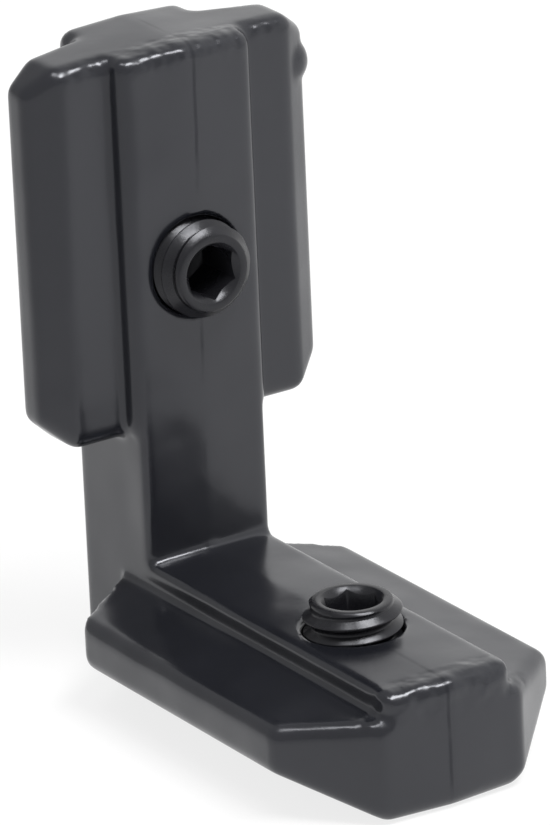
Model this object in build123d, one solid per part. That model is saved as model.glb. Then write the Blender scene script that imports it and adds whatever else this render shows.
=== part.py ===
"""Inner corner bracket for T-slot profile with an 8 mm slot (30 mm series).

An L-shaped zinc die casting. Each arm is a T-shaped slider: a rib that stands between the lips of the
profile's slot, and wings that bear on the back of those lips. One M5 set screw through each arm pushes
off the floor of the slot, so that the wings clamp against the lips.

Frame: X across the bracket, with the middle plane of the casting (its parting plane) at X = 0.
Y is depth: the short arm points to -Y, and the back of the long arm faces +Y. Z is up, with the foot
at Z = 0. The origin is on the foot, half way along the bracket's depth.
"""
import os
from math import cos, radians, tan

from build123d import *

# ---- overall sizes of the casting (mm) ----
LONG_ARM = 33.0          # height over all, foot to the top of the long arm
SHORT_ARM = 28.0         # depth over all, back of the long arm to the end of the short one
BAR_DEPTH = 6.7          # rib face to back face, the same in both arms
BAR_WIDTH = 7.2          # plain bar that joins the two sliders
DRAFT = 1.5              # degrees, every face that the die draws off, from the parting plane outwards
END_DRAFT = 2.2          # degrees, on the ends of the arms
LAND = 3.0               # width of the flat left along the foot and the back, so that it stands
HEEL_RADIUS = 1.0        # outer corner of the L
INNER_RADIUS = 0.3       # inner corner of the L

# ---- long arm ----
LONG_RIB_WIDTH = 7.8     # 8.2 mm slot less 0.2 mm each side
LONG_WINGS_WIDTH = 16.2  # over the wings, in a 16.5 mm channel
LONG_LIP_STEP = 1.25     # rib face to the faces that bear on the slot's lips
LONG_BEARING_WIDTH = 13.0
LONG_BEVEL_DROP = 1.1    # bevel from the bearing face to the side
LONG_SIDE = 1.75         # flat side of a wing
LONG_BACK_SLOPE = 12.5   # degrees, back of a wing towards the bar
LONG_WING_START = 6.3    # above the face of the short arm's rib
LONG_TOP_CORNER = (1.5, 1.1)      # corner cut at the top of a wing: across, down
LONG_BOTTOM_CORNER = (1.6, 1.45)  # corner cut at the bottom of a wing: across, up

# ---- short arm ----
SHORT_WINGS_WIDTH = 16.0
SHORT_LIP_STEP = 1.3
SHORT_TOP_SLOPE = 6.0    # degrees, bearing face falling away from the rib
SHORT_SIDE = 2.25
SHORT_END_CUT = 42.0     # degrees, wing cut back from the corner of the bar's end
SHORT_CUT_OFFSET = 0.4   # the cut starts this far outside the bar
SHORT_HEEL_CUT = 35.0    # degrees, wing cut at the heel
SHORT_HEEL_CORNER = 0.5  # from the long arm's rib face out to the wing's heel corner

# ---- rounding of the casting's edges ----
OUTER_EDGE = 0.8         # round the wings and the ends, down the long arm's rib, and round the bar's back
INNER_EDGE = 0.4         # along the bar and the short arm's rib, on the inside of the L
RIB_ROOT = 0.3           # where a rib, or the bar, meets a wing

# ---- where metal ran in: the broken-off gate on one wing ----
GATE_RADIUS = 1.3        # of the domed stub
GATE_HEIGHT = 0.35       # that it stands out of the wing's side
GATE_FROM_TOP = 3.1
GATE_BACK = 0.5          # behind the front corner of the wing's side

# ---- set screws ----
THREAD = 5.0             # M5, outer diameter
SCREW_LENGTH = 8.0       # over all, its tip just inside the back face
SCREW_PROUD = 1.4        # stands out of the rib face as supplied
SCREW_CLEARANCE = 0.05   # each side, between thread and tapped hole
SCREW_ALONG_LONG = 14.9  # from the short arm's rib face
SCREW_ALONG_SHORT = 12.7  # from the long arm's rib face
LONG_SCREW_TURN = 35.0   # degrees that each screw's hexagon happens to stand at
SHORT_SCREW_TURN = 7.0
SCREW_CHAMFER = 0.5
HOLE_CHAMFER = 0.2       # countersink at both mouths of a tapped hole
HEX_ACROSS_FLATS = 2.5
HEX_DEPTH = 3.0
HEX_LEAD = 0.12          # chamfer round the mouth of the socket
DRILL_POINT = 118.0      # degrees, the cone that ends the socket
CUP_RADIUS = 1.25
CUP_DEPTH = 0.7

# ---- places that follow from the sizes ----
BACK_Y = SHORT_ARM / 2
END_Y = -SHORT_ARM / 2
LONG_FACE_Y = BACK_Y - BAR_DEPTH    # rib face of the long arm
SHORT_FACE_Z = BAR_DEPTH            # rib face of the short arm
WING_START_Z = SHORT_FACE_Z + LONG_WING_START
HEEL_CORNER_Y = LONG_FACE_Y - SHORT_HEEL_CORNER
LONG_SCREW_Z = SHORT_FACE_Z + SCREW_ALONG_LONG
SHORT_SCREW_Y = LONG_FACE_Y - SCREW_ALONG_SHORT
RIDGE = LAND / 2 * tan(radians(DRAFT))  # drafted faces meet this far outside the flat land
OVERLAP = 2.0                           # how far the plain bar runs on inside a slider
REACH = 2 * max(LONG_ARM, SHORT_ARM)    # longer than anything that is cut


def drafted(depth, x, angle=DRAFT):
    """A depth at the parting plane, less the draft at a distance x from it."""
    return depth - x * tan(radians(angle))


def rounded(corners):
    """A face through (u, v, radius) corners, where each corner with a radius is rounded."""
    face = make_face(Polyline(*[(u, v) for u, v, _ in corners], close=True))
    for radius in sorted({r for _, _, r in corners if r > 0}):
        spots = [Vector(u, v) for u, v, r in corners if r == radius]
        picked = [p for p in face.vertices() if any((Vector(p) - s).length < 1e-4 for s in spots)]
        face = fillet(picked, radius)
    return face


def outer_edges(half, wanted):
    """The outward edges of a half casting off the parting plane whose middles are wanted."""
    return [
        edge for edge in half.edges()
        if edge.center().X > 1e-3 and wanted(edge.center()) and not edge.is_interior
    ]


def long_section():
    """Half section of the long arm: u is X, v is depth behind the rib face."""
    rib, wing, bar = LONG_RIB_WIDTH / 2, LONG_WINGS_WIDTH / 2, BAR_WIDTH / 2
    bearing = LONG_BEARING_WIDTH / 2
    side_front = LONG_LIP_STEP + LONG_BEVEL_DROP
    side_back = side_front + LONG_SIDE
    back = BAR_DEPTH + RIDGE
    return rounded([
        (0, 0, 0),
        (rib, -drafted(0, rib), OUTER_EDGE),
        (rib, LONG_LIP_STEP, RIB_ROOT),
        (bearing, LONG_LIP_STEP, 0),
        (wing, side_front, 0),
        (wing, side_back, 0),
        (bar, side_back + (wing - bar) * tan(radians(LONG_BACK_SLOPE)), RIB_ROOT),
        (bar, drafted(back, bar), OUTER_EDGE),
        (0, back, 0),
    ])


def long_front():
    """Half of the front outline of the long arm's slider: u is X, v is Z."""
    wing = LONG_WINGS_WIDTH / 2
    across_top, down = LONG_TOP_CORNER
    across_bottom, up = LONG_BOTTOM_CORNER
    return rounded([
        (0, LONG_ARM, 0),
        (wing - across_top, drafted(LONG_ARM, wing - across_top, END_DRAFT), 0),
        (wing, drafted(LONG_ARM, wing, END_DRAFT) - down, 0),
        (wing, WING_START_Z + up, 0),
        (wing - across_bottom, WING_START_Z, 0),
        (0, WING_START_Z, 0),
    ])


def long_slider():
    """Half of the long arm, from the start of its wings up."""
    run = extrude(Pos(0, LONG_FACE_Y) * long_section(), amount=REACH)
    half = run & extrude(Plane.XZ * long_front(), amount=REACH, both=True)
    rib = LONG_RIB_WIDTH / 2
    ends = outer_edges(half, lambda at: at.X > rib + RIB_ROOT or at.Z > LONG_ARM - OUTER_EDGE)
    return fillet(ends, OUTER_EDGE)


def short_section():
    """Half section of the short arm: u is X, v is Z."""
    bar, wing = BAR_WIDTH / 2, SHORT_WINGS_WIDTH / 2
    bearing = SHORT_FACE_Z - SHORT_LIP_STEP
    side_top = bearing - (wing - bar) * tan(radians(SHORT_TOP_SLOPE))
    return rounded([
        (0, SHORT_FACE_Z, 0),
        (bar, drafted(SHORT_FACE_Z, bar), 0),
        (bar, bearing, RIB_ROOT),
        (wing, side_top, 0),
        (wing, side_top - SHORT_SIDE, 0),
        (bar, -drafted(RIDGE, bar), 0),
        (0, -RIDGE, 0),
    ])


def short_plan():
    """Half of the plan outline of the short arm's slider: u is X, v is Y."""
    wing = SHORT_WINGS_WIDTH / 2
    cut = BAR_WIDTH / 2 + SHORT_CUT_OFFSET
    end_corner = -drafted(-END_Y, cut, END_DRAFT)
    root = BAR_WIDTH / 4  # the outline closes inside the bar
    return rounded([
        (0, BACK_Y - 2 * HEEL_RADIUS, 0),
        (root, HEEL_CORNER_Y + (wing - root) * tan(radians(SHORT_HEEL_CUT)), 0),
        (wing, HEEL_CORNER_Y, 0),
        (wing, end_corner + (wing - cut) * tan(radians(SHORT_END_CUT)), 0),
        (cut, end_corner, 0),
        (0, END_Y, 0),
    ])


def short_slider():
    """Half of the short arm with its wing, from the heel to its end."""
    run = extrude(Plane.XZ * short_section(), amount=REACH, both=True)
    half = run & extrude(short_plan(), amount=REACH, both=True)
    wing_root = BAR_WIDTH / 2 + RIB_ROOT
    bearing = SHORT_FACE_Z - SHORT_LIP_STEP

    def rib_edge(at):
        """Whether an edge is the long one of the rib."""
        return at.Z > bearing + RIB_ROOT and END_Y + OUTER_EDGE < at.Y < LONG_FACE_Y - OUTER_EDGE

    def heel_edge(at):
        """Whether an edge is the top one of a wing's cut at the heel, which is left crisp."""
        return at.Z > bearing - SHORT_SIDE / 2 and at.X > wing_root and at.Y > LONG_FACE_Y

    def other_edge(at):
        """Whether an edge is another one of the wing, the foot or the end."""
        outside = at.X > wing_root or at.Y < LONG_FACE_Y - OUTER_EDGE
        return outside and not rib_edge(at) and not heel_edge(at)

    half = fillet(outer_edges(half, other_edge), OUTER_EDGE)
    return fillet(outer_edges(half, rib_edge), INNER_EDGE)


def drafted_bar(near, far):
    """Half section of the plain bar: u is X, v runs from one drafted face to the opposite one."""
    bar = BAR_WIDTH / 2
    lean = bar * tan(radians(DRAFT))
    return make_face(Polyline((0, near), (bar, near + lean), (bar, far - lean), (0, far), close=True))


def crossing(plan, front):
    """What a plan run up and down has in common with a front outline run back and forth."""
    return extrude(plan, amount=REACH, both=True) & extrude(Plane.XZ * front, amount=REACH, both=True)


def leg():
    """Half of the plain bar round the heel, which runs on inside both sliders."""
    bar = BAR_WIDTH / 2
    back, foot = BACK_Y + RIDGE, -RIDGE
    top, stop = WING_START_Z + OVERLAP, LONG_FACE_Y - OVERLAP
    half = crossing(drafted_bar(LONG_FACE_Y, back), drafted_bar(foot, top))
    half += crossing(drafted_bar(stop, back), drafted_bar(foot, SHORT_FACE_Z))
    half = fillet(half.edges().sort_by_distance((bar / 2, back, foot))[0], HEEL_RADIUS)
    half = fillet(half.edges().sort_by_distance((bar / 2, LONG_FACE_Y, SHORT_FACE_Z))[0], INNER_RADIUS)

    def clear_of_stubs(at):
        """Whether an edge is away from the bar's two ends, which are buried in the sliders."""
        return at.Y > stop + INNER_EDGE / 2 and at.Z < top - INNER_EDGE / 2

    def inward(at):
        """Whether an edge is on the inside of the L."""
        return at.Y < LONG_FACE_Y + INNER_EDGE and at.Z > SHORT_FACE_Z - INNER_EDGE

    half = fillet(outer_edges(half, lambda at: clear_of_stubs(at) and not inward(at)), OUTER_EDGE)
    return fillet(outer_edges(half, lambda at: clear_of_stubs(at) and inward(at)), INNER_EDGE)


def tapped_hole(radius):
    """A hole through the bar along -Z from Z = 0, chamfered at both mouths."""
    chamfer = HOLE_CHAMFER
    profile = make_face(Polyline(
        (0, chamfer),
        (radius + 2 * chamfer, chamfer),
        (radius, -chamfer),
        (radius, chamfer - BAR_DEPTH),
        (radius + 2 * chamfer, -chamfer - BAR_DEPTH),
        (0, -chamfer - BAR_DEPTH),
        close=True,
    ))
    return revolve(Plane.XZ * profile, Axis.Z)


def long_screw_place():
    """Where the long arm's screw leaves the rib face, with its axis pointing out."""
    return Location((0, LONG_FACE_Y, LONG_SCREW_Z), (90, 0, 0))


def short_screw_place():
    """Where the short arm's screw leaves the rib face, with its axis pointing out."""
    return Location((0, SHORT_SCREW_Y, SHORT_FACE_Z))


def gate_stub():
    """The low domed stub left where the gate broke off, on the front edge of the right wing's side."""
    out = LONG_WINGS_WIDTH / 2 + GATE_HEIGHT - GATE_RADIUS
    depth = LONG_FACE_Y + LONG_LIP_STEP + LONG_BEVEL_DROP + GATE_BACK
    return Pos(out, depth, LONG_ARM - GATE_FROM_TOP) * Sphere(GATE_RADIUS)


def bracket_body():
    """The casting: two mirrored halves, flattened along foot and back, then tapped."""
    half = long_slider() + short_slider() + leg()
    casting = half + mirror(half, Plane.YZ)
    standing = Box(REACH, SHORT_ARM, REACH, align=(Align.CENTER, Align.CENTER, Align.MIN))
    casting = (casting & standing) + gate_stub()
    hole = tapped_hole(THREAD / 2)
    return casting - long_screw_place() * hole - short_screw_place() * hole


def set_screw(turn):
    """M5 hex socket set screw with a cup point, standing proud of Z = 0 with its hexagon turned."""
    radius = THREAD / 2 - SCREW_CLEARANCE
    top, tip = SCREW_PROUD, SCREW_PROUD - SCREW_LENGTH
    socket_floor = top - HEX_DEPTH
    blank = revolve(Plane.XZ * make_face(Polyline(
        (0, top),
        (radius - SCREW_CHAMFER, top),
        (radius, top - SCREW_CHAMFER),
        (radius, tip + SCREW_CHAMFER),
        (CUP_RADIUS + SCREW_CHAMFER / 2, tip),
        (CUP_RADIUS, tip),
        (0, tip + CUP_DEPTH),
        close=True,
    )), Axis.Z)
    hexagon = RegularPolygon(HEX_ACROSS_FLATS / 2, 6, major_radius=False, rotation=turn)
    socket = extrude(Pos(0, 0, socket_floor) * hexagon, amount=HEX_DEPTH + SCREW_PROUD)
    mouth = HEX_ACROSS_FLATS / 2 / cos(radians(30)) + HEX_LEAD
    lead = Pos(0, 0, top - mouth / 2) * Cone(0, mouth, mouth)
    flat = HEX_ACROSS_FLATS / 2
    point = flat / tan(radians(DRILL_POINT / 2))
    cone = Pos(0, 0, socket_floor - point / 2) * Cone(0, flat, point)
    return blank - socket - lead - cone


def main():
    nodes = {
        "bracket_body": bracket_body(),
        "long_arm_set_screw": long_screw_place() * set_screw(LONG_SCREW_TURN),
        "short_arm_set_screw": short_screw_place() * set_screw(SHORT_SCREW_TURN),
    }
    os.makedirs("parts", exist_ok=True)
    for name, solid in nodes.items():
        solid.label = name
        export_step(solid, f"parts/{name}.step")
        print(name, round(solid.volume, 1), "mm3", solid.is_valid)


if __name__ == "__main__":
    main()
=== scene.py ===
"""Looks of the T-slot inner corner bracket: painted die casting, threaded set screws, plain studio.

Everything is in metres in the part's own frame: X across, -Y along the short arm, Z up the long arm.
"""

from math import cos, hypot, pi, radians, sin, tan

import bmesh
import bpy
from mathutils import Matrix, Vector


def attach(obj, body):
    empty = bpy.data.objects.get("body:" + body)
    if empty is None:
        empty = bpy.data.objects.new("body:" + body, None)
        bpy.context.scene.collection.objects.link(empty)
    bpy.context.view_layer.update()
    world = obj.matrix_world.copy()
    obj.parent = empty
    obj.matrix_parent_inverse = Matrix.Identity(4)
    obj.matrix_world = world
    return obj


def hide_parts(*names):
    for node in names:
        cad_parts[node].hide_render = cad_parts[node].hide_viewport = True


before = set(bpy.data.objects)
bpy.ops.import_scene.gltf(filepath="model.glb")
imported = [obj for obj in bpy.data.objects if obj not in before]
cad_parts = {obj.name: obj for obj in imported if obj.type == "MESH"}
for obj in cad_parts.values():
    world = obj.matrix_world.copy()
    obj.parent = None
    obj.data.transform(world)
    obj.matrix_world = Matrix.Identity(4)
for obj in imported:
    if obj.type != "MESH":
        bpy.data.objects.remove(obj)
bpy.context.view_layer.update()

MM = 0.001

# ---- sizes shared with the CAD part ----
RIB_FACE_Y = 7.3 * MM
RIB_FACE_Z = 6.7 * MM
LONG_SCREW_Z = 21.6 * MM
SHORT_SCREW_Y = -5.4 * MM
LONG_SCREW_TURN = radians(35)
SHORT_SCREW_TURN = radians(7)
SCREW_PROUD = 1.4 * MM
SCREW_LENGTH = 8.0 * MM
HEX_ACROSS_FLATS = 2.5 * MM
HEX_DEPTH = 3.0 * MM
HEX_LEAD = 0.12 * MM
CUP_RADIUS = 1.25 * MM
CUP_DEPTH = 0.7 * MM

# ---- paint over the casting ----
SKIN_GRID = 0.17 * MM        # spacing of the skin's points
SKIN_EASING = 5              # rounds of easing, each spreading by about half the grid
BARE_MOUTH = 2.8 * MM        # round a tapped hole, which is cut after painting
FULL_PAINT = 3.4 * MM        # from the hole's axis to where the paint is whole

# ---- M5 coarse thread ----
PITCH = 0.8 * MM
CREST_RADIUS = 2.45 * MM
ROOT_RADIUS = 2.02 * MM
END_RADIUS = 1.95 * MM       # flat end inside the 45 degree end chamfer
TIP_CHAMFER = 0.2 * MM       # how much smaller the cup's end is
EASE = 0.02 * MM             # rounding of the screw's small edges
TURN_STEPS = 96              # points round the screw, a multiple of 6 for the hexagon's corners
DRILL_SLOPE = radians(31)    # of the 118 degree drill point under the hexagon
NEAR_AXIS = 0.0001 * MM      # a ring this small closes to a point

# ---- relief that is finer than the meshes ----
LONG_EDGE = Vector((0, 7.9, 33.0)) * MM      # on the rib's trimmed edge at the long arm's end
SHORT_EDGE = Vector((0, -13.4, 6.0)) * MM    # the same at the short arm's end
CROWN_HEIGHT = 0.14 * MM     # of a rib's face, over its edges
SAG_DEPTH = 0.22 * MM        # of the waves in the casting's flats
LUMP_HEIGHT = 0.2 * MM       # of the paint along the trimmed ends
PEEL_HEIGHT = 0.006 * MM     # of the paint's orange peel
GRAIN_HEIGHT = 0.006 * MM    # of the steel under its oxide
COOL_SHEEN = "#F8F9FF"       # tint of what paint and oxide reflect

# ---- studio ----
DIM_SIDE = (-0.9, -0.2, 0.35)    # the side of the studio that is left dim
DIM_PAPER = (-0.85, -0.5, 0.0)   # the side of the paper that glows the least
PAPER_GLOW = 0.8                 # share of what is seen of the paper that is its own glow
LAMP_DISTANCE = 0.5


def linear(hex_colour):
    """An sRGB hex colour as the linear RGBA that a shader takes."""
    channels = [int(hex_colour[i:i + 2], 16) / 255 for i in (1, 3, 5)]
    linears = [c / 12.92 if c <= 0.04045 else ((c + 0.055) / 1.055) ** 2.4 for c in channels]
    return (*linears, 1.0)


def add_node(tree, kind, values=None, links=None, **settings):
    """Adds a node with its settings, the values of its free inputs and the outputs its inputs link to."""
    node = tree.nodes.new(kind)
    for name, value in settings.items():
        setattr(node, name, value)
    for name, value in (values or {}).items():
        node.inputs[name].default_value = value
    for name, output in (links or {}).items():
        tree.links.new(output, node.inputs[name])
    return node


def new_material(name):
    """An empty material, its tree, and the output with the place on the surface in metres."""
    material = bpy.data.materials.new(name)
    material.use_nodes = True
    tree = material.node_tree
    tree.nodes.clear()
    place = add_node(tree, "ShaderNodeTexCoord").outputs["Object"]
    return material, tree, place


# ---------------------------------------------------------------- materials

def near_line(tree, place, point, inner, outer):
    """1 within inner of the line along X through a point, falling to 0 at outer, all in metres."""
    flat = add_node(tree, "ShaderNodeVectorMath", links={0: place}, operation="MULTIPLY")
    flat.inputs[1].default_value = (0, 1, 1)
    gap = add_node(tree, "ShaderNodeVectorMath", links={0: flat.outputs["Vector"]},
                   operation="DISTANCE")
    gap.inputs[1].default_value = point
    return add_node(tree, "ShaderNodeMapRange",
                    {"From Min": inner, "From Max": outer, "To Min": 1.0, "To Max": 0.0},
                    {"Value": gap.outputs["Value"]}, interpolation_type="SMOOTHSTEP").outputs["Result"]


def parting_line(tree, place, spot, patches):
    """1 on the line where the die parts, which slants, wanders, and shows only on some patches."""
    slant = add_node(tree, "ShaderNodeMapRange",
                     {"From Min": 5 * MM, "From Max": 30 * MM, "To Min": -0.3 * MM, "To Max": 0.3 * MM},
                     {"Value": spot.outputs["Z"]})
    wander = add_node(tree, "ShaderNodeTexNoise", {"Scale": 1 / (4 * MM), "Detail": 2.0},
                      {"Vector": place})
    drift = add_node(tree, "ShaderNodeMapRange", {"To Min": -0.1 * MM, "To Max": 0.1 * MM},
                     {"Value": wander.outputs["Fac"]})
    off_line = add_node(tree, "ShaderNodeMath",
                        links={0: spot.outputs["X"], 1: drift.outputs["Result"]}, operation="SUBTRACT")
    off_line = add_node(tree, "ShaderNodeMath",
                        links={0: off_line.outputs[0], 1: slant.outputs["Result"]}, operation="SUBTRACT")
    off_line = add_node(tree, "ShaderNodeMath", links={0: off_line.outputs[0]}, operation="ABSOLUTE")
    line = add_node(tree, "ShaderNodeMapRange",
                    {"From Min": 0.03 * MM, "From Max": 0.16 * MM, "To Min": 1.0, "To Max": 0.0},
                    {"Value": off_line.outputs[0]}, interpolation_type="SMOOTHSTEP")
    shown = add_node(tree, "ShaderNodeMapRange", {"From Min": 0.42, "From Max": 0.58},
                     {"Value": patches.outputs["Fac"]}, interpolation_type="SMOOTHSTEP")
    return add_node(tree, "ShaderNodeMath",
                    links={0: line.outputs["Result"], 1: shown.outputs["Result"]},
                    operation="MULTIPLY").outputs[0]


def cast_surface(tree, place, spot):
    """The normal of ribs crowned a little and flats that wave, as zinc does where it cools last."""
    aside = add_node(tree, "ShaderNodeMath", links={0: spot.outputs["X"]}, operation="ABSOLUTE")
    crown = add_node(tree, "ShaderNodeMapRange",
                     {"From Min": 0.0, "From Max": 4.5 * MM, "To Min": 1.0, "To Max": 0.0},
                     {"Value": aside.outputs[0]}, interpolation_type="SMOOTHSTEP")
    crowned = add_node(tree, "ShaderNodeBump", {"Strength": 1.0, "Distance": CROWN_HEIGHT},
                       {"Height": crown.outputs["Result"]})
    sag = add_node(tree, "ShaderNodeTexNoise", {"Scale": 1 / (5 * MM), "Detail": 1.0}, {"Vector": place})
    sagged = add_node(tree, "ShaderNodeBump", {"Strength": 1.0, "Distance": SAG_DEPTH},
                      {"Height": sag.outputs["Fac"], "Normal": crowned.outputs["Normal"]})
    return sagged.outputs["Normal"]


def paint_surface(tree, place, metal):
    """The normal of the paint over the metal: lumps along the trimmed ends, and orange peel all over."""
    long_end = near_line(tree, place, LONG_EDGE, 0.7 * MM, 1.8 * MM)
    short_end = near_line(tree, place, SHORT_EDGE, 0.7 * MM, 1.7 * MM)
    trimmed = add_node(tree, "ShaderNodeMath", links={0: long_end, 1: short_end}, operation="MAXIMUM")
    lumps = add_node(tree, "ShaderNodeTexNoise",
                     {"Scale": 1 / (1.1 * MM), "Detail": 1.3, "Roughness": 0.5}, {"Vector": place})
    lumpy = add_node(tree, "ShaderNodeBump", {"Distance": LUMP_HEIGHT},
                     {"Height": lumps.outputs["Fac"], "Strength": trimmed.outputs[0], "Normal": metal})
    peel = add_node(tree, "ShaderNodeTexNoise", {"Scale": 1 / (0.9 * MM), "Detail": 2.0},
                    {"Vector": place})
    peeled = add_node(tree, "ShaderNodeBump", {"Strength": 1.0, "Distance": PEEL_HEIGHT},
                      {"Height": peel.outputs["Fac"], "Normal": lumpy.outputs["Normal"]})
    return peeled.outputs["Normal"]


def gloss_black_paint():
    """Stoved gloss paint, sprayed over a zinc die casting: deep black, with soft broad reflections, the
    orange peel of a sprayed coat, a lumpy edge where the ends were trimmed, and a faint line where the
    die parts."""
    material, tree, place = new_material("gloss_black_paint_on_zinc_casting")
    spot = add_node(tree, "ShaderNodeSeparateXYZ", links={"Vector": place})
    patches = add_node(tree, "ShaderNodeTexNoise",
                       {"Scale": 1 / (6 * MM), "Detail": 3.0, "Roughness": 0.55}, {"Vector": place})
    tone = add_node(tree, "ShaderNodeMix", {6: linear("#121317"), 7: linear("#1C1D22")},
                    {0: patches.outputs["Fac"]}, data_type="RGBA")
    dulling = add_node(tree, "ShaderNodeMapRange", {"To Min": 0.13, "To Max": 0.31},
                       {"Value": patches.outputs["Fac"]})
    line = parting_line(tree, place, spot, patches)
    sheen = add_node(tree, "ShaderNodeMapRange", {"To Min": 0.5, "To Max": 0.3}, {"Value": line})
    normal = paint_surface(tree, place, cast_surface(tree, place, spot))
    shader = add_node(tree, "ShaderNodeBsdfPrincipled", {"IOR": 1.6, "Specular Tint": linear(COOL_SHEEN)},
                      {"Base Color": tone.outputs[2], "Roughness": dulling.outputs["Result"],
                       "Specular IOR Level": sheen.outputs["Result"], "Normal": normal})
    add_node(tree, "ShaderNodeOutputMaterial", links={"Surface": shader.outputs["BSDF"]})
    return material


def black_oxide_steel():
    """Alloy steel, black oxide finished and oiled: near black, with a thin oily sheen along its crests."""
    material, tree, place = new_material("oiled_black_oxide_on_steel")
    mottle = add_node(tree, "ShaderNodeTexNoise", {"Scale": 1 / (1.0 * MM), "Detail": 4.0},
                      {"Vector": place})
    tone = add_node(tree, "ShaderNodeMix", {6: linear("#0F0F12"), 7: linear("#18181B")},
                    {0: mottle.outputs["Fac"]}, data_type="RGBA")
    dulling = add_node(tree, "ShaderNodeMapRange", {"To Min": 0.18, "To Max": 0.4},
                       {"Value": mottle.outputs["Fac"]})
    grain = add_node(tree, "ShaderNodeTexNoise", {"Scale": 1 / (0.2 * MM), "Detail": 2.0},
                     {"Vector": place})
    rough = add_node(tree, "ShaderNodeBump", {"Strength": 1.0, "Distance": GRAIN_HEIGHT},
                     {"Height": grain.outputs["Fac"]})
    shader = add_node(tree, "ShaderNodeBsdfPrincipled", {"IOR": 1.45, "Specular Tint": linear(COOL_SHEEN)},
                      {"Base Color": tone.outputs[2], "Roughness": dulling.outputs["Result"],
                       "Normal": rough.outputs["Normal"]})
    add_node(tree, "ShaderNodeOutputMaterial", links={"Surface": shader.outputs["BSDF"]})
    return material


def white_paper():
    """Matt white paper with a painted glow, no lamp behind it: it keeps a light shadow, and glossy paint
    sees the glow white, a painted reflection, a little less so on its dim side, a painted shade."""
    material, tree, place = new_material("white_paper_with_painted_glow")
    fibres = add_node(tree, "ShaderNodeTexNoise", {"Scale": 1 / (2 * MM), "Detail": 3.0},
                      {"Vector": place})
    tone = add_node(tree, "ShaderNodeMix", {6: linear("#F6F6F6"), 7: linear("#FAFAFA")},
                    {0: fibres.outputs["Fac"]}, data_type="RGBA")
    paper = add_node(tree, "ShaderNodeBsdfPrincipled", {"Roughness": 0.9, "Specular IOR Level": 0.2},
                     {"Base Color": tone.outputs[2]})
    ray = add_node(tree, "ShaderNodeLightPath")
    # painted shade: the glow that glossy rays see fades from 1 to 0.6 towards DIM_PAPER
    aside = add_node(tree, "ShaderNodeVectorMath", links={0: place}, operation="DOT_PRODUCT")
    aside.inputs[1].default_value = Vector(DIM_PAPER).normalized()
    level = add_node(tree, "ShaderNodeMapRange",
                     {"From Min": 5 * MM, "From Max": 50 * MM, "To Min": 1.0, "To Max": 0.6},
                     {"Value": aside.outputs["Value"]}, interpolation_type="SMOOTHSTEP")
    level = add_node(tree, "ShaderNodeMath",
                     links={0: level.outputs["Result"], 1: ray.outputs["Is Camera Ray"]},
                     operation="MAXIMUM")
    glow = add_node(tree, "ShaderNodeEmission", {"Color": linear("#FFFFFF")},
                    {"Strength": level.outputs[0]})
    seen = add_node(tree, "ShaderNodeMath",
                    links={0: ray.outputs["Is Camera Ray"], 1: ray.outputs["Is Glossy Ray"]},
                    operation="MAXIMUM")
    share = add_node(tree, "ShaderNodeMath", links={0: seen.outputs[0]}, operation="MULTIPLY")
    share.inputs[1].default_value = PAPER_GLOW
    mix = add_node(tree, "ShaderNodeMixShader",
                   links={0: share.outputs[0], 1: paper.outputs[0], 2: glow.outputs[0]})
    add_node(tree, "ShaderNodeOutputMaterial", links={"Surface": mix.outputs[0]})
    return material


# ---------------------------------------------------------------- painted casting

def paint_share(point):
    """How much of the paint's easing a point has: none round the tapped holes, all of it elsewhere."""
    from_axis = min(hypot(point.x, point.z - LONG_SCREW_Z), hypot(point.x, point.y - SHORT_SCREW_Y))
    return max(0.0, min(1.0, (from_axis - BARE_MOUTH) / (FULL_PAINT - BARE_MOUTH)))


def applied(thing):
    """The mesh of an object with its modifiers applied."""
    bpy.context.view_layer.update()
    mesh = bpy.data.meshes.new_from_object(thing.evaluated_get(bpy.context.evaluated_depsgraph_get()))
    thing.modifiers.clear()
    return mesh


def painted_casting(solid, body, material):
    """The casting with every edge eased by the paint that flowed over it."""
    skin = solid.copy()
    skin.data = solid.data.copy()
    skin.name = "painted_casting"
    skin.parent = None
    for key in list(skin.keys()):
        del skin[key]
    bpy.context.scene.collection.objects.link(skin)
    weld = skin.modifiers.new("weld", "WELD")
    weld.merge_threshold = 0.001 * MM
    even = skin.modifiers.new("even", "REMESH")
    even.mode = "VOXEL"
    even.voxel_size = SKIN_GRID
    skin.data = applied(skin)
    painted = skin.vertex_groups.new(name="painted")
    for vertex in skin.data.vertices:
        painted.add([vertex.index], paint_share(vertex.co), "REPLACE")
    flow = skin.modifiers.new("flow", "SMOOTH")
    flow.factor = 0.5
    flow.iterations = SKIN_EASING
    flow.vertex_group = painted.name
    skin.data = applied(skin)
    skin.data.shade_smooth()
    skin.data.materials.clear()
    skin.data.materials.append(material)
    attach(skin, body)
    return skin


# ---------------------------------------------------------------- set screws

def thread_turn():
    """(share of the pitch, radius) across a turn of a 60 degree thread, roots and crests rounded."""
    crest, root, ease = CREST_RADIUS, ROOT_RADIUS, 0.03 * MM
    return [
        (0.0, root), (0.10, root + 0.1 * ease), (0.16, root + ease), (0.42, crest - ease), (0.47, crest),
        (0.53, crest), (0.58, crest - ease), (0.84, root + ease), (0.90, root + 0.1 * ease), (1.0, root),
    ]


def thread_points():
    """Strips of points across the thread, one for each step along the helix, as (step, radius, z)."""
    top, tip = SCREW_PROUD - EASE, SCREW_PROUD - SCREW_LENGTH
    laps = int(SCREW_LENGTH / PITCH) + 3
    strips = []
    for step in range(laps * TURN_STEPS + 1):
        start = SCREW_PROUD + PITCH - step / TURN_STEPS * PITCH
        strip = []
        for share, radius in thread_turn():
            z = max(tip, min(top, start - share * PITCH))
            reach = min(radius, END_RADIUS + SCREW_PROUD - z, END_RADIUS - TIP_CHAMFER + z - tip)
            strip.append((-step, reach, z))
        strips.append(strip)
    return strips


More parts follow.
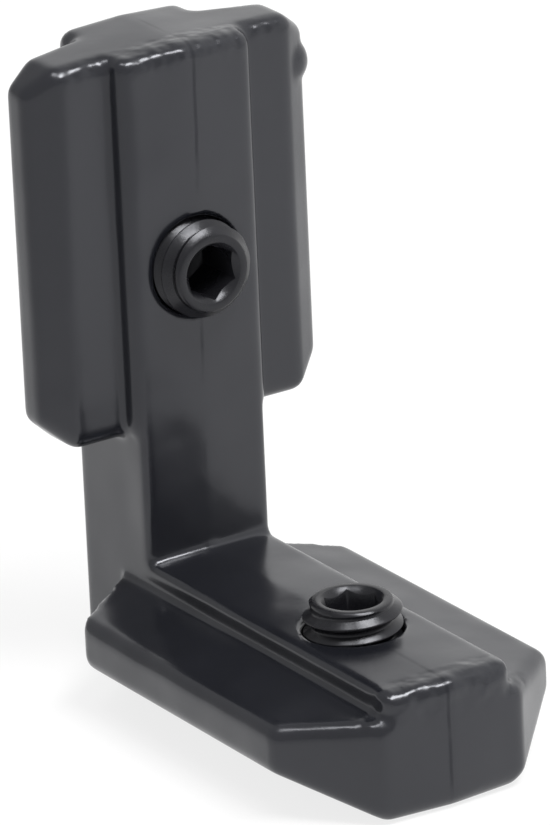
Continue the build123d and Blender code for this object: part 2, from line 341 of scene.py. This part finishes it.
def socket_rings():
    """Rings of points from the drill point up the hexagon socket and over the flat end."""
    top, floor = SCREW_PROUD, SCREW_PROUD - HEX_DEPTH
    flat = HEX_ACROSS_FLATS / 2
    lead = flat / cos(radians(30)) + HEX_LEAD
    sixth = TURN_STEPS // 6
    steps = range(TURN_STEPS + 1)
    hexagon = [flat / cos(2 * pi * (k % sixth) / TURN_STEPS - radians(30)) for k in steps]

    def even(value):
        """The same value all the way round."""
        return [value for _ in steps]

    rings = [
        (even(NEAR_AXIS), even(floor - flat * tan(DRILL_SLOPE))),
        (even(0.97 * flat), even(floor)),
        (hexagon, even(floor)),
        (hexagon, [top - (lead - r) - EASE for r in hexagon]),
        ([r + EASE for r in hexagon], [top - (lead - r) + EASE / 2 for r in hexagon]),
        (even(lead), even(top - EASE / 2)),
        (even(lead + EASE), even(top)),
        (even(END_RADIUS - EASE), even(top)),
        (even(END_RADIUS + EASE), even(top - EASE)),
    ]
    return [list(zip(steps, radii, heights)) for radii, heights in rings]


def cup_rings():
    """Rings of points from the end of the thread over the rim of the cup to the middle of its hollow."""
    tip = SCREW_PROUD - SCREW_LENGTH
    profile = [
        (END_RADIUS - TIP_CHAMFER, tip),
        (CUP_RADIUS + EASE, tip),
        (CUP_RADIUS - EASE, tip + EASE),
        (0.6 * CUP_RADIUS, tip + 0.6 * CUP_DEPTH),
        (NEAR_AXIS, tip + CUP_DEPTH),
    ]
    return [[(k, radius, z) for k in range(TURN_STEPS + 1)] for radius, z in profile]


def set_screw(name, turn, place, body, material):
    """A threaded M5 set screw that stands proud of the rib face, in place of its plain CAD solid."""
    shape = bmesh.new()
    for rows in (socket_rings(), thread_points(), cup_rings()):
        grid = []
        for row in rows:
            angles = [turn + 2 * pi * step / TURN_STEPS for step, _, _ in row]
            corners = [(r * cos(a), r * sin(a), z) for a, (_, r, z) in zip(angles, row)]
            grid.append([shape.verts.new(corner) for corner in corners])
        for upper, lower in zip(grid, grid[1:]):
            for k in range(len(upper) - 1):
                shape.faces.new((upper[k], upper[k + 1], lower[k + 1], lower[k]))
    bmesh.ops.remove_doubles(shape, verts=shape.verts, dist=0.0015 * MM)
    bmesh.ops.dissolve_degenerate(shape, edges=shape.edges, dist=0.001 * MM)
    bmesh.ops.recalc_face_normals(shape, faces=shape.faces)
    mesh = bpy.data.meshes.new(name)
    shape.to_mesh(mesh)
    shape.free()
    mesh.transform(place)
    mesh.shade_smooth()
    mesh.set_sharp_from_angle(angle=radians(50))
    mesh.materials.append(material)
    screw = bpy.data.objects.new(name, mesh)
    bpy.context.scene.collection.objects.link(screw)
    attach(screw, body)
    return screw


# ---------------------------------------------------------------- studio

def softbox(name, aim, direction, size, power):
    """A white rectangular area lamp that looks at the bracket from a direction."""
    data = bpy.data.lights.new(name, "AREA")
    data.shape = "RECTANGLE"
    data.size, data.size_y = size
    data.energy = power
    lamp = bpy.data.objects.new(name, data)
    bpy.context.scene.collection.objects.link(lamp)
    away = Vector(direction).normalized()
    lamp.location = Vector(aim) + away * LAMP_DISTANCE
    lamp.rotation_euler = away.to_track_quat("Z", "Y").to_euler()


def studio_world():
    """White light from all round, dimmer from the left and above, and white where the camera sees it."""
    world = bpy.data.worlds.new("white_studio")
    world.use_nodes = True
    tree = world.node_tree
    tree.nodes.clear()
    look = add_node(tree, "ShaderNodeTexCoord").outputs["Generated"]
    toward = add_node(tree, "ShaderNodeVectorMath", links={0: look}, operation="DOT_PRODUCT")
    toward.inputs[1].default_value = Vector(DIM_SIDE).normalized()
    glow = add_node(tree, "ShaderNodeMapRange",
                    {"From Min": -0.4, "From Max": 0.05, "To Min": 1.0, "To Max": 0.5},
                    {"Value": toward.outputs["Value"]}, interpolation_type="SMOOTHSTEP")
    light = add_node(tree, "ShaderNodeBackground", {"Color": linear("#FFFFFF")},
                     {"Strength": glow.outputs["Result"]})
    white = add_node(tree, "ShaderNodeBackground", {"Color": linear("#FFFFFF"), "Strength": 1.0})
    ray = add_node(tree, "ShaderNodeLightPath")
    mix = add_node(tree, "ShaderNodeMixShader",
                   links={0: ray.outputs["Is Camera Ray"], 1: light.outputs[0], 2: white.outputs[0]})
    add_node(tree, "ShaderNodeOutputWorld", links={"Surface": mix.outputs[0]})
    bpy.context.scene.world = world


def floor(material):
    """A round sheet of paper, wide enough to fill what the camera and the paint see of it."""
    just_below = (0, 0, -0.02 * MM)
    bpy.ops.mesh.primitive_circle_add(vertices=96, radius=1.6, fill_type="NGON", location=just_below)
    sheet = bpy.context.object
    sheet.name = "studio_floor"
    sheet.data.materials.append(material)


def camera():
    """A long lens, looking down from the front left, rolled a little."""
    aim = Vector((4.17, 7.48, 12.80)) * MM
    azimuth, elevation, roll = radians(32.11), radians(21.20), radians(-2.56)
    distance, focal_length = 415.4 * MM, 365.4
    back = Vector((-sin(azimuth) * cos(elevation), -cos(azimuth) * cos(elevation), sin(elevation)))
    right = Vector((cos(azimuth), -sin(azimuth), 0))
    up = back.cross(right)
    turned_right = right * cos(roll) + up * sin(roll)
    turned_up = up * cos(roll) - right * sin(roll)
    data = bpy.data.cameras.new("camera")
    data.sensor_width = 36
    data.lens = focal_length
    data.clip_start, data.clip_end = 0.01, 10
    lens = bpy.data.objects.new("camera", data)
    bpy.context.scene.collection.objects.link(lens)
    columns = Matrix((turned_right, turned_up, back)).transposed()
    lens.matrix_world = Matrix.Translation(aim + back * distance) @ columns.to_4x4()
    bpy.context.scene.camera = lens


# ---------------------------------------------------------------- the bracket

paint = gloss_black_paint()
steel = black_oxide_steel()

casting = painted_casting(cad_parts["bracket_body"], "bracket", paint)
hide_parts("bracket_body")

long_place = Matrix.Translation((0, RIB_FACE_Y, LONG_SCREW_Z)) @ Matrix.Rotation(radians(90), 4, "X")
short_place = Matrix.Translation((0, SHORT_SCREW_Y, RIB_FACE_Z))
long_screw = set_screw("long_arm_threaded_screw", LONG_SCREW_TURN, long_place, "long_arm_screw", steel)
short_screw = set_screw("short_arm_threaded_screw", SHORT_SCREW_TURN, short_place, "short_arm_screw",
                        steel)
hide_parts("long_arm_set_screw")
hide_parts("short_arm_set_screw")

studio_world()
floor(white_paper())
middle = (0, 0, 15 * MM)
softbox("front_lamp", middle, (0.12, -0.40, 0.88), (0.28, 0.16), 2.4)
softbox("left_lamp", middle, (-0.30, -0.12, 0.94), (0.16, 0.12), 0.4)
camera()

scene = bpy.context.scene
scene.view_settings.view_transform = "Standard"
